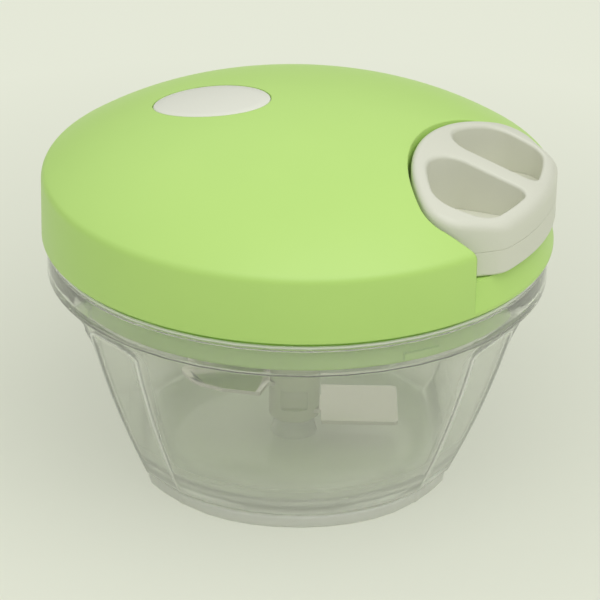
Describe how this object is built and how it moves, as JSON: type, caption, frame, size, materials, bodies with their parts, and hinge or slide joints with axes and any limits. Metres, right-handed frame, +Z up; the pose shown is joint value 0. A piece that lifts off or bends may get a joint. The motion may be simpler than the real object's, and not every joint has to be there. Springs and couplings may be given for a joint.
{
  "type": "pull cord food chopper",
  "caption": "Pull-cord food chopper: clear faceted bowl, domed green lid with a white pull handle docked in its edge, and a white spindle of steel blades.",
  "frame": {"origin": "centre of the underside of the non-slip foot ring, on the axis that the bowl, spindle, spool and lid share", "axes": "+Z up along the blade axis, +X the direction in which the handle is pulled out of the lid"},
  "size_m": [0.1251, 0.125, 0.0926],
  "materials": {
    "clear_styrene": "clear moulded styrene acrylonitrile, polished",
    "foot_rubber": "translucent grey thermoplastic rubber, satin",
    "pin_steel": "turned stainless steel",
    "green_abs": "lime green moulded ABS, satin gloss",
    "label_white": "bare white oval inlay",
    "seal_silicone": "white silicone",
    "inner_acetal": "natural white acetal",
    "screw_steel": "zinc plated steel",
    "spring_steel": "blued spring steel ribbon",
    "braided_nylon": "white braided nylon cord",
    "white_abs": "white moulded ABS, satin",
    "ferrule_brass": "crimped brass",
    "blade_steel": "stamped stainless steel with ground edges"
  },
  "bodies": {
    "bowl": {"bowl": "clear_styrene", "non_slip_foot": "foot_rubber", "blade_pin": "pin_steel"},
    "lid": {"lid_shell": "green_abs", "label_inlay": "label_white", "lid_base": "green_abs", "lid_seal": "seal_silicone", "shaft_bush": "inner_acetal", "lid_screws": "screw_steel", "spring_cup": "inner_acetal", "spring_cup_screws": "screw_steel", "rewind_spring": "spring_steel", "spool_axle": "pin_steel", "cord_guide": "inner_acetal", "pull_cord": "braided_nylon"},
    "handle": {"handle_top": "white_abs", "handle_bottom": "white_abs", "handle_screw": "screw_steel", "cord_ferrule": "ferrule_brass"},
    "spool": {"spool": "inner_acetal", "cord_coil": "braided_nylon", "pawl_carrier": "inner_acetal", "pawl_pins": "pin_steel"},
    "pawl_a": {"pawl_a": "inner_acetal"},
    "pawl_b": {"pawl_b": "inner_acetal"},
    "drive": {"drive_wheel": "inner_acetal"},
    "blades": {"blade_spindle": "white_abs", "blade_lower": "blade_steel", "blade_middle": "blade_steel", "blade_upper": "blade_steel"}
  },
  "joints": [
    {"name": "lid_lift", "type": "slide", "parent": "bowl", "child": "lid", "axis": [0, 0, 1], "range_m": [0, 0.09]},
    {"name": "handle_pull", "type": "slide", "parent": "lid", "child": "handle", "axis": [1, 0, 0], "range_m": [0, 0.3], "stiffness_N_per_m": 6, "springref_m": -0.5, "deforming": ["pull_cord"]},
    {"name": "spool_spin", "type": "hinge", "parent": "lid", "child": "spool", "pos_m": [0, 0, 0.08], "axis": [0, 0, 1], "range_deg": [0, 1080], "deforming": ["rewind_spring"]},
    {"name": "drive_spin", "type": "hinge", "parent": "lid", "child": "drive", "pos_m": [0, 0, 0.06], "axis": [0, 0, 1], "range_deg": [0, 1080]},
    {"name": "blade_spin", "type": "hinge", "parent": "bowl", "child": "blades", "pos_m": [0, 0, 0.02], "axis": [0, 0, 1], "range_deg": [0, 1080]},
    {"name": "pawl_a_tilt", "type": "hinge", "parent": "spool", "child": "pawl_a", "pos_m": [0.00657, -0.01052, 0.0643], "axis": [0, 0, 1], "range_deg": [0, 9]},
    {"name": "pawl_b_tilt", "type": "hinge", "parent": "spool", "child": "pawl_b", "pos_m": [-0.00657, 0.01052, 0.0643], "axis": [0, 0, 1], "range_deg": [0, 9]}
  ],
  "couplings": [
    {"joint": "spool_spin", "follows": "handle_pull", "rad_per_m": 62.305},
    {"joint": "drive_spin", "follows": "handle_pull", "rad_per_m": 62.305},
    {"joint": "blade_spin", "follows": "handle_pull", "rad_per_m": 62.305}
  ]
}
